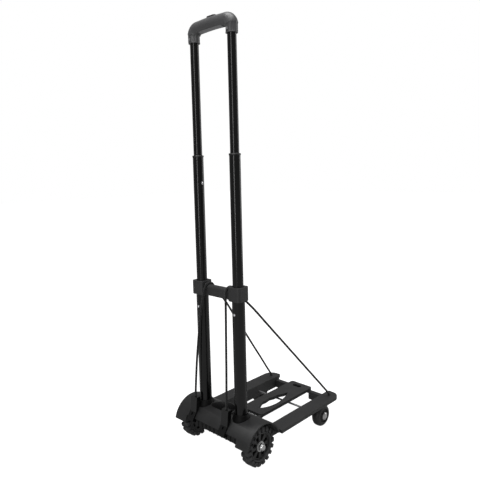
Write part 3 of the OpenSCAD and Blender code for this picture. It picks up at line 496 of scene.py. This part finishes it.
def build_tyre(side):
    """Tyre with chunky lugs that run down both sidewalls."""
    name = side + "_rear_tyre"
    low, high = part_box(name)
    centre = (low + high) / 2
    half, top = (high.x - low.x) / 2, (high.z - low.z) / 2
    bead = (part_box(side + "_rear_hub")[1].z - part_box(side + "_rear_hub")[0].z) / 2
    depth = LUG_DEPTH
    # Half of the section from the bead to the middle of the tread: across, radius, lug's push across and out
    section = [(half - 3.5 * MM, bead - 0.5 * MM, 0, 0), (half - 1.6 * MM, bead + 0.3 * MM, 0, 0),
               (half - 0.8 * MM, bead + 1.4 * MM, 0, 0), (half - 1.4 * MM, bead + 2.6 * MM, 0, 0),
               (half - 4.2 * MM, bead + 3.4 * MM, 0, 0), (half - 4.4 * MM, bead + 3.9 * MM, 4.1 * MM, 0),
               (half - 4.4 * MM, top - 7.5 * MM, 4.4 * MM, 0),
               (half - 4.8 * MM, top - 5.2 * MM, 3.8 * MM, 1.5 * MM),
               (half - 5.8 * MM, top - depth, 2.4 * MM, depth - 0.5 * MM),
               (half - 8 * MM, top - depth, 0, depth), (2.6 * MM, top - depth, 0, depth),
               (1.4 * MM, top - depth, 0, 0.4 * depth), (0, top - depth, 0, 0)]
    full = [(x, r, dx, dr, 1) for x, r, dx, dr in section]
    full += [(-x, r, -dx, dr, -1) for x, r, dx, dr in reversed(section[:-1])]

    def lug(turn, which):
        """1 on a lug and 0 in a groove, with steep flanks; the two sides are half a lug apart."""
        place = (turn * LUGS + (0.5 if which < 0 else 0)) % 1
        distance = abs(place - 0.5)
        return min(1, max(0, (0.33 - distance) / 0.07))

    count = LUGS * STEPS_PER_LUG
    points = []
    for k in range(count):
        angle = 2 * math.pi * k / count
        for x, r, dx, dr, which in full:
            share = lug(k / count, which)
            across, out = x + dx * share, r + dr * share
            points.append(centre + Vector((across, -out * math.sin(angle), out * math.cos(angle))))
    columns = len(full)
    # Where each ring and the next one round the tyre begin
    starts = [(k * columns, (k + 1) % count * columns) for k in range(count)]
    faces = [(here + j, here + j + 1, after + j + 1, after + j)
             for here, after in starts for j in range(columns - 1)]
    # Inner face against the hub closes the section
    faces += [(here + columns - 1, here, after, after + columns - 1) for here, after in starts]
    tyre = add_piece(side + "_tyre", points, faces, MATERIALS["tyre_rubber"], smooth_angle=35)
    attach(tyre, side + "_rear_wheel")
    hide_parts(name)


# ---------- Cords ----------

# Points of each cord in millimetres, in front of the handle tubes' plane
ROUTES = {
    "right": [(96, 281, 50.5), (96, 281, 58.5), (95, 277, 67.5), (90, 254, 95), (82, 222, 133),
              (74, 190, 171), (66, 158, 209), (58, 126, 247), (50, 94, 285), (42, 62, 323), (34, 30, 356),
              (31, 18, 367), (30, 12.5, 375), (30.5, 8, 380.1), (31, 0, 382.5), (31.5, -8, 380.1),
              (32, -12.5, 374), (32.5, -14, 364), (34, -16, 330), (35, -18, 290), (36, -20, 250),
              (37, -22, 205), (37.5, -24, 160), (38, -25.5, 130), (38, -26, 109)],
    "left": [(-96, 281, 50.5), (-96, 281, 58.5), (-95, 277, 67.5), (-90, 254, 95), (-82, 222, 133),
             (-75, 190, 171), (-67, 158, 209), (-59, 126, 247), (-52, 94, 285), (-44, 62, 323),
             (-37, 30, 356), (-34, 18, 367), (-33, 12.5, 375), (-33, 8, 380.1), (-33, 0, 382.5),
             (-33.5, -8, 380.1), (-34, -12.5, 374), (-35, -14.5, 364), (-41, -18.5, 330),
             (-47, -20.5, 290), (-52, -22, 250), (-57, -23.5, 205), (-60.5, -25, 160),
             (-62.5, -25.8, 130), (-63, -26, 109)],
}


def build_cord(side):
    """Braided elastic cord from the knot under the arm, over the crossbar and down to its hook."""
    diameter = 5 * MM
    line = smooth_line([from_plane(*(Vector(p) * MM)) for p in ROUTES[side]], CORD_CUTS)
    points = sweep(line, Vector((1, 0, 0)), lambda i, angle: diameter / 2, CORD_COUNT)
    cord = add_piece(side + "_elastic_cord", points, grid_faces(len(line), CORD_COUNT),
                     MATERIALS["cord_fabric"], 60)
    travelled = [0]
    for a, b in zip(line, line[1:]):
        travelled.append(travelled[-1] + (b - a).length)
    uv = cord.data.uv_layers.new(name="along")
    for face in cord.data.polygons:
        for corner in face.loop_indices:
            ring, place = divmod(cord.data.loops[corner].vertex_index, CORD_COUNT)
            uv.data[corner].uv = (travelled[ring], place / CORD_COUNT * math.pi * diameter)
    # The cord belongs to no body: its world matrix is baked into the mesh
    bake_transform(cord)
    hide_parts(side + "_cord")


# ---------- Scene ----------

add_camera()
for cord_side in SIDES:
    build_cord(cord_side)
add_world(seen=1.0, lit=0.25)
add_floor(seen=1.0, lit=0.16)
add_light("left_strip", (0.9, -2.35, 1.0), (0, 0, 0.5), 0.4, 2.2, 6)
add_light("right_strip", (0.95, 2.4, 1.0), (0, 0, 0.5), 0.9, 2.2, 2.2)
add_light("top_box", (0.1, -0.3, 2.8), (0, 0, 0.4), 2.0, 2.0, 5.0)
bpy.context.scene.view_settings.view_transform = "Standard"
dress_cad_nodes()
build_grip()
for wheel_side in SIDES:
    build_tyre(wheel_side)
